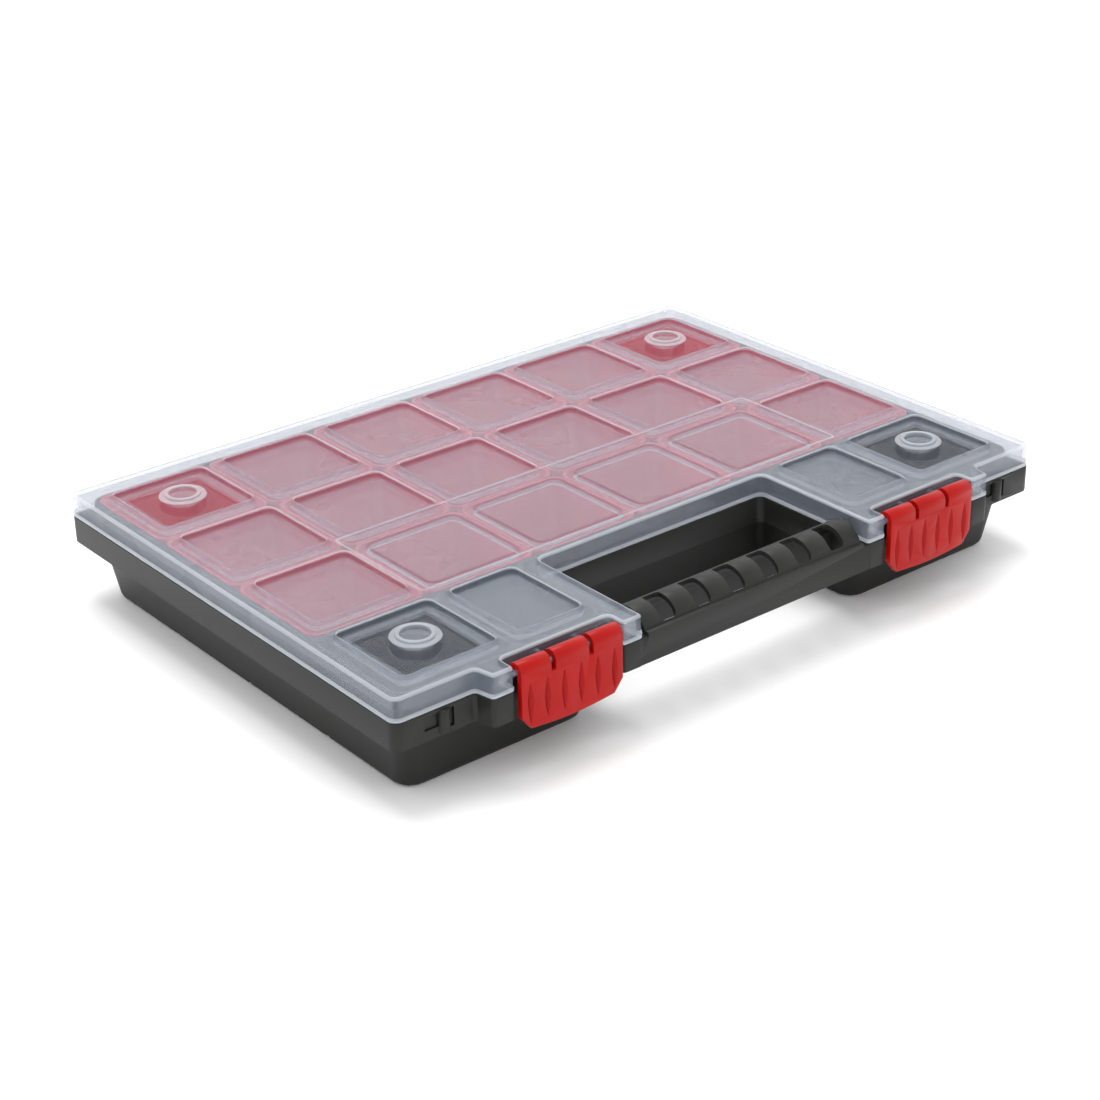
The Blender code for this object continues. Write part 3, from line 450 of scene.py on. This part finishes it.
def addLatchRods(bm):
    # A rod across each notch, on two webs that pass through the slots of its latch.
    for side in (-1, 1):
        middle = side * fittings["latchX"]
        reach = (lid["notch"] + lid["wall"]) / 2
        rod(bm, (middle - reach, middle + reach), fittings["rodY"], fittings["rodZ"], fittings["rodRadius"],
            fittings["rodSegments"])
        for place in (-fittings["webOffset"], fittings["webOffset"]):
            x = (middle + place - fittings["webHalf"], middle + place + fittings["webHalf"])
            y = (fittings["rodY"], lid["front"] + lid["wall"] / 2)
            z = (fittings["rodZ"] - fittings["rodRadius"], fittings["rodZ"] + fittings["rodRadius"])
            web = block(bm, x, y, z)
            foot = [v for v in web if v.co.y > lid["front"] and v.co.z < fittings["rodZ"]]
            bmesh.ops.translate(bm, verts=foot, vec=(0, 0, -fittings["webDrop"]))


def addHingeKnuckles(bm):
    # Each arm leans from its knuckle back to the skirt, and bites into the skirt's wall.
    y, z, radius = fittings["hingeY"], fittings["hingeZ"], fittings["hingeRadius"]
    for x in fittings["stations"]:
        span = (x - fittings["knuckleHalf"], x + fittings["knuckleHalf"])
        rod(bm, span, y, z, radius, fittings["knuckleSegments"])
        rod(bm, (x - fittings["pinReach"], x + fittings["pinReach"]), y, z, fittings["pinRadius"],
            fittings["pinSegments"])
        outer = y + fittings["armReach"]
        arm = block(bm, span, (lid["back"] - fittings["armBite"], outer), (z, lid["skirt"] + fittings["armRise"]))
        top = [v for v in arm if v.co.z > lid["skirt"] and v.co.y > lid["back"]]
        bmesh.ops.translate(bm, verts=top, vec=(0, lid["back"] - fittings["armGap"] - outer, 0))


def lidPiece():
    bm = lidShell()
    addLatchRods(bm)
    addHingeKnuckles(bm)
    piece = newPiece("lid_moulding", bm, finishes["frostedPolypropylene"], "lid", "frosted_clear_plastic", "lid")
    piece.data.materials.append(finishes["polishedPaintedShadePolypropylene"])
    piece.data.materials.append(finishes["paintedHighlightPolypropylene"])
    piece.data.set_sharp_from_angle(angle=math.radians(lid["sharpAngle"]))


lidPiece()
print("lid made")


# Setting: floor, light and camera

setting = {
    "floorHalf": 6.0, "floorColour": "#fbfbfb", "floorRoughness": 0.9, "floorSheen": 0.1,
    "skyColour": "#ffffff", "skyStrength": 1.15,
    "keyPlace": (0.1, 0.5, 1.8), "keySize": 1.1, "keyPower": 20.0,
}


def addFloor():
    bm = bmesh.new()
    bmesh.ops.create_grid(bm, x_segments=8, y_segments=8, size=setting["floorHalf"])
    mesh = bpy.data.meshes.new("paper_floor")
    bm.to_mesh(mesh)
    bm.free()
    floor = bpy.data.objects.new("paper_floor", mesh)
    bpy.context.scene.collection.objects.link(floor)
    paper = bpy.data.materials.new("whitePaper")
    paper.use_nodes = True
    shader = paper.node_tree.nodes["Principled BSDF"]
    shader.inputs["Base Color"].default_value = linear(setting["floorColour"])
    shader.inputs["Roughness"].default_value = setting["floorRoughness"]
    shader.inputs["Specular IOR Level"].default_value = setting["floorSheen"]
    mesh.materials.append(paper)


def addLight():
    world = bpy.data.worlds.new("studio")
    bpy.context.scene.world = world
    world.use_nodes = True
    sky = world.node_tree.nodes["Background"]
    sky.inputs["Color"].default_value = linear(setting["skyColour"])
    sky.inputs["Strength"].default_value = setting["skyStrength"]
    lamp = bpy.data.lights.new("key", "AREA")
    lamp.shape = "SQUARE"
    lamp.size = setting["keySize"]
    lamp.energy = setting["keyPower"]
    key = bpy.data.objects.new("key", lamp)
    key.location = setting["keyPlace"]
    key.rotation_euler = (-Vector(setting["keyPlace"])).to_track_quat("-Z", "Y").to_euler()
    bpy.context.scene.collection.objects.link(key)


view = {
    "azimuth": -38.62, "elevation": 26.233, "roll": -1.224, "distance": 1.0202,
    "aside": (-5.368 * mm, -13.514 * mm), "target": (0, 0, 25 * mm), "lens": 76.87, "sensor": 36.0,
    "clipStart": 0.05,
}


def addCamera():
    # Two angles give the way back from the target; the camera is rolled about it and moved aside in its own plane.
    azimuth, elevation, roll = (math.radians(view[k]) for k in ("azimuth", "elevation", "roll"))
    back = Vector((math.sin(azimuth) * math.cos(elevation), -math.cos(azimuth) * math.cos(elevation),
                   math.sin(elevation)))
    right = Vector((0, 0, 1)).cross(back).normalized()
    up = back.cross(right)
    across = math.cos(roll) * right + math.sin(roll) * up
    upward = math.cos(roll) * up - math.sin(roll) * right
    place = Vector(view["target"]) + view["aside"][0] * across + view["aside"][1] * upward + view["distance"] * back
    lens = bpy.data.cameras.new("camera")
    lens.lens = view["lens"]
    lens.sensor_width = view["sensor"]
    lens.clip_start = view["clipStart"]
    camera = bpy.data.objects.new("camera", lens)
    turned = Matrix((across, upward, back)).transposed().to_4x4()
    camera.matrix_world = Matrix.Translation(place) @ turned
    bpy.context.scene.collection.objects.link(camera)
    bpy.context.scene.camera = camera


addFloor()
addLight()
addCamera()
bpy.context.scene.view_settings.view_transform = "Standard"
print("setting made")
